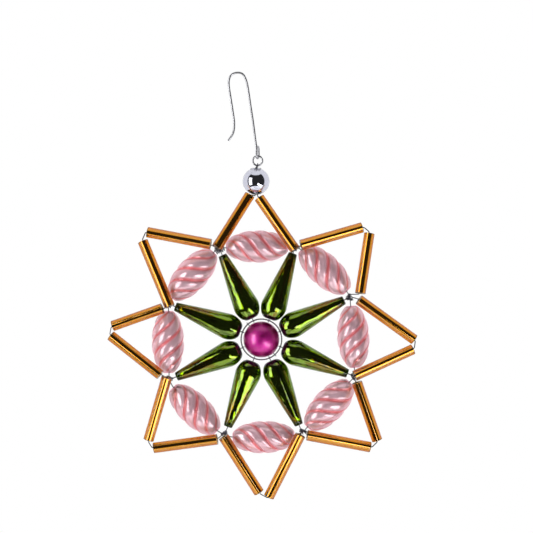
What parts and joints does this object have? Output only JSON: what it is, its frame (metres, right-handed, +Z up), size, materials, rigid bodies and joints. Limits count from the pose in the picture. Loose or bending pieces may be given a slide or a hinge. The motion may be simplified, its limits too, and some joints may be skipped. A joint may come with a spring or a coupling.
{
  "type": "beaded star ornament",
  "caption": "Hanging star of glass tubes, oval beads and drops strung on fine wire round a centre bead, on a jump ring and a bent wire hook.",
  "frame": {"origin": "the point inside the hook's bend that rests on a branch or a thread", "axes": "+Z up along the hanging direction, the star in the XZ plane, -Y towards the viewer, +X to the viewer's right"},
  "size_m": [0.093, 0.0107, 0.1286],
  "materials": {
    "gold_glass": "mirror-lined gold glass tube, fire-cut ends",
    "pink_glass": "pink glass with a pearl lining and twisted flutes",
    "green_glass": "mirror-lined olive green glass",
    "magenta_glass": "satin magenta glass",
    "silver_glass": "mirror-lined clear glass",
    "hook_steel": "bright drawn wire",
    "wire_steel": "fine drawn wire"
  },
  "bodies": {
    "hook": {"hook": "hook_steel"},
    "jump_ring": {"jump_ring": "hook_steel"},
    "star": {"centre_bead_wire": "wire_steel", "centre_ring": "wire_steel", "rim_wire": "wire_steel", "spoke_wire_1": "wire_steel", "spoke_wire_2": "wire_steel", "spoke_wire_3": "wire_steel", "spoke_wire_4": "wire_steel", "spoke_wire_5": "wire_steel", "spoke_wire_6": "wire_steel", "spoke_wire_7": "wire_steel", "spoke_wire_8": "wire_steel", "tube_wire": "wire_steel"},
    "drop_1": {"drop_1": "green_glass"},
    "drop_2": {"drop_2": "green_glass"},
    "drop_3": {"drop_3": "green_glass"},
    "drop_4": {"drop_4": "green_glass"},
    "drop_5": {"drop_5": "green_glass"},
    "drop_6": {"drop_6": "green_glass"},
    "drop_7": {"drop_7": "green_glass"},
    "drop_8": {"drop_8": "green_glass"},
    "olive_1": {"olive_1": "pink_glass"},
    "olive_2": {"olive_2": "pink_glass"},
    "olive_3": {"olive_3": "pink_glass"},
    "olive_4": {"olive_4": "pink_glass"},
    "olive_5": {"olive_5": "pink_glass"},
    "olive_6": {"olive_6": "pink_glass"},
    "olive_7": {"olive_7": "pink_glass"},
    "olive_8": {"olive_8": "pink_glass"},
    "tube_1a": {"tube_1a": "gold_glass"},
    "tube_1b": {"tube_1b": "gold_glass"},
    "tube_2a": {"tube_2a": "gold_glass"},
    "tube_2b": {"tube_2b": "gold_glass"},
    "tube_3a": {"tube_3a": "gold_glass"},
    "tube_3b": {"tube_3b": "gold_glass"},
    "tube_4a": {"tube_4a": "gold_glass"},
    "tube_4b": {"tube_4b": "gold_glass"},
    "tube_5a": {"tube_5a": "gold_glass"},
    "tube_5b": {"tube_5b": "gold_glass"},
    "tube_6a": {"tube_6a": "gold_glass"},
    "tube_6b": {"tube_6b": "gold_glass"},
    "tube_7a": {"tube_7a": "gold_glass"},
    "tube_7b": {"tube_7b": "gold_glass"},
    "tube_8a": {"tube_8a": "gold_glass"},
    "tube_8b": {"tube_8b": "gold_glass"},
    "centre_bead": {"centre_bead": "magenta_glass"},
    "silver_bead": {"silver_bead": "silver_glass"}
  },
  "joints": [
    {"name": "link_swing_side", "type": "hinge", "parent": "hook", "child": "jump_ring", "pos_m": [0.00575, 0, -0.0255], "axis": [0.342, 0.9397, 0], "range_deg": [-75, 75]},
    {"name": "link_swing_front", "type": "hinge", "parent": "jump_ring", "child": "star", "pos_m": [0.00575, 0, -0.02768], "axis": [1, 0, 0], "range_deg": [-75, 75]},
    {"name": "spin_drop_1", "type": "hinge", "parent": "star", "child": "drop_1", "pos_m": [-0.00118, 0.0004, -0.06394], "axis": [-0.4068, 0, 0.9135], "continuous": true},
    {"name": "spin_drop_2", "type": "hinge", "parent": "star", "child": "drop_2", "pos_m": [0.01201, 0.0004, -0.06404], "axis": [0.3582, 0, 0.9337], "continuous": true},
    {"name": "spin_drop_3", "type": "hinge", "parent": "star", "child": "drop_3", "pos_m": [0.02129, 0.0004, -0.073], "axis": [0.908, 0, 0.419], "continuous": true},
    {"name": "spin_drop_4", "type": "hinge", "parent": "star", "child": "drop_4", "pos_m": [0.02176, 0.0004, -0.08662], "axis": [0.9213, 0, -0.3887], "continuous": true},
    {"name": "spin_drop_5", "type": "hinge", "parent": "star", "child": "drop_5", "pos_m": [0.01247, 0.0004, -0.09613], "axis": [0.3827, 0, -0.9239], "continuous": true},
    {"name": "spin_drop_6", "type": "hinge", "parent": "star", "child": "drop_6", "pos_m": [-0.00094, 0.0004, -0.09619], "axis": [-0.3787, 0, -0.9255], "continuous": true},
    {"name": "spin_drop_7", "type": "hinge", "parent": "star", "child": "drop_7", "pos_m": [-0.01033, 0.0004, -0.08657], "axis": [-0.9239, 0, -0.3827], "continuous": true},
    {"name": "spin_drop_8", "type": "hinge", "parent": "star", "child": "drop_8", "pos_m": [-0.01018, 0.0004, -0.07341], "axis": [-0.9272, 0, 0.3746], "continuous": true},
    {"name": "spin_olive_1", "type": "hinge", "parent": "star", "child": "olive_1", "pos_m": [0.00503, 0.0009, -0.052], "axis": [1, 0, -0.0073], "continuous": true},
    {"name": "spin_olive_2", "type": "hinge", "parent": "star", "child": "olive_2", "pos_m": [0.02515, 0.0009, -0.05943], "axis": [0.7225, 0, -0.6914], "continuous": true},
    {"name": "spin_olive_3", "type": "hinge", "parent": "star", "child": "olive_3", "pos_m": [0.03336, 0.0009, -0.07969], "axis": [0.04, 0, -0.9992], "continuous": true},
    {"name": "spin_olive_4", "type": "hinge", "parent": "star", "child": "olive_4", "pos_m": [0.0257, 0.0009, -0.10007], "axis": [-0.6976, 0, -0.7165], "continuous": true},
    {"name": "spin_olive_5", "type": "hinge", "parent": "star", "child": "olive_5", "pos_m": [0.00578, 0.0009, -0.10929], "axis": [-1, 0, -0.0057], "continuous": true},
    {"name": "spin_olive_6", "type": "hinge", "parent": "star", "child": "olive_6", "pos_m": [-0.01474, 0.0009, -0.10058], "axis": [-0.6971, 0, 0.7169], "continuous": true},
    {"name": "spin_olive_7", "type": "hinge", "parent": "star", "child": "olive_7", "pos_m": [-0.02235, 0.0009, -0.08008], "axis": [0.0127, 0, 0.9999], "continuous": true},
    {"name": "spin_olive_8", "type": "hinge", "parent": "star", "child": "olive_8", "pos_m": [-0.01458, 0.0009, -0.06003], "axis": [0.6853, 0, 0.7282], "continuous": true},
    {"name": "spin_tube_1a", "type": "hinge", "parent": "star", "child": "tube_1a", "pos_m": [-0.00189, -0.00153, -0.04424], "axis": [0.5391, 0.1627, 0.8264], "continuous": true},
    {"name": "spin_tube_1b", "type": "hinge", "parent": "star", "child": "tube_1b", "pos_m": [0.01121, -0.00155, -0.0453], "axis": [-0.5435, 0.1619, 0.8237], "continuous": true},
    {"name": "spin_tube_2a", "type": "hinge", "parent": "star", "child": "tube_2a", "pos_m": [0.0274, -0.00132, -0.04938], "axis": [0.9576, 0.1363, 0.2539], "continuous": true},
    {"name": "spin_tube_2b", "type": "hinge", "parent": "star", "child": "tube_2b", "pos_m": [0.03722, -0.00133, -0.05772], "axis": [0.1742, 0.145, 0.974], "continuous": true},
    {"name": "spin_tube_3a", "type": "hinge", "parent": "star", "child": "tube_3a", "pos_m": [0.04338, -0.00149, -0.07473], "axis": [0.791, 0.1431, -0.5949], "continuous": true},
    {"name": "spin_tube_3b", "type": "hinge", "parent": "star", "child": "tube_3b", "pos_m": [0.04228, -0.00148, -0.08755], "axis": [0.9104, 0.1515, 0.3849], "continuous": true},
    {"name": "spin_tube_4a", "type": "hinge", "parent": "star", "child": "tube_4a", "pos_m": [0.03695, -0.00133, -0.10208], "axis": [0.3098, 0.1419, -0.9401], "continuous": true},
    {"name": "spin_tube_4b", "type": "hinge", "parent": "star", "child": "tube_4b", "pos_m": [0.02832, -0.00134, -0.11085], "axis": [0.9678, 0.1376, -0.2109], "continuous": true},
    {"name": "spin_tube_5a", "type": "hinge", "parent": "star", "child": "tube_5a", "pos_m": [0.0119, -0.00146, -0.11793], "axis": [-0.4642, 0.1373, -0.875], "continuous": true},
    {"name": "spin_tube_5b", "type": "hinge", "parent": "star", "child": "tube_5b", "pos_m": [-0.00105, -0.00152, -0.11725], "axis": [0.5082, 0.1508, -0.8479], "continuous": true},
    {"name": "spin_tube_6a", "type": "hinge", "parent": "star", "child": "tube_6a", "pos_m": [-0.01765, -0.00133, -0.1106], "axis": [-0.9834, 0.1362, -0.1197], "continuous": true},
    {"name": "spin_tube_6b", "type": "hinge", "parent": "star", "child": "tube_6b", "pos_m": [-0.02579, -0.00153, -0.09999], "axis": [-0.2996, 0.1536, -0.9416], "continuous": true},
    {"name": "spin_tube_7a", "type": "hinge", "parent": "star", "child": "tube_7a", "pos_m": [-0.03206, -0.00133, -0.08382], "axis": [-0.7668, 0.1381, 0.6268], "continuous": true},
    {"name": "spin_tube_7b", "type": "hinge", "parent": "star", "child": "tube_7b", "pos_m": [-0.03121, -0.0013, -0.07242], "axis": [-0.937, 0.1604, -0.3104], "continuous": true},
    {"name": "spin_tube_8a", "type": "hinge", "parent": "star", "child": "tube_8a", "pos_m": [-0.02535, -0.00149, -0.05953], "axis": [-0.3632, 0.1395, 0.9212], "continuous": true},
    {"name": "spin_tube_8b", "type": "hinge", "parent": "star", "child": "tube_8b", "pos_m": [-0.01829, -0.00133, -0.049], "axis": [-0.9693, 0.1351, 0.2056], "continuous": true},
    {"name": "spin_centre_bead", "type": "hinge", "parent": "star", "child": "centre_bead", "pos_m": [0.00575, 0.0004, -0.07991], "axis": [0.6428, 0, -0.766], "continuous": true},
    {"name": "spin_silver_bead", "type": "hinge", "parent": "star", "child": "silver_bead", "pos_m": [0.00515, 0, -0.03242], "axis": [0, 0, 1], "continuous": true}
  ]
}
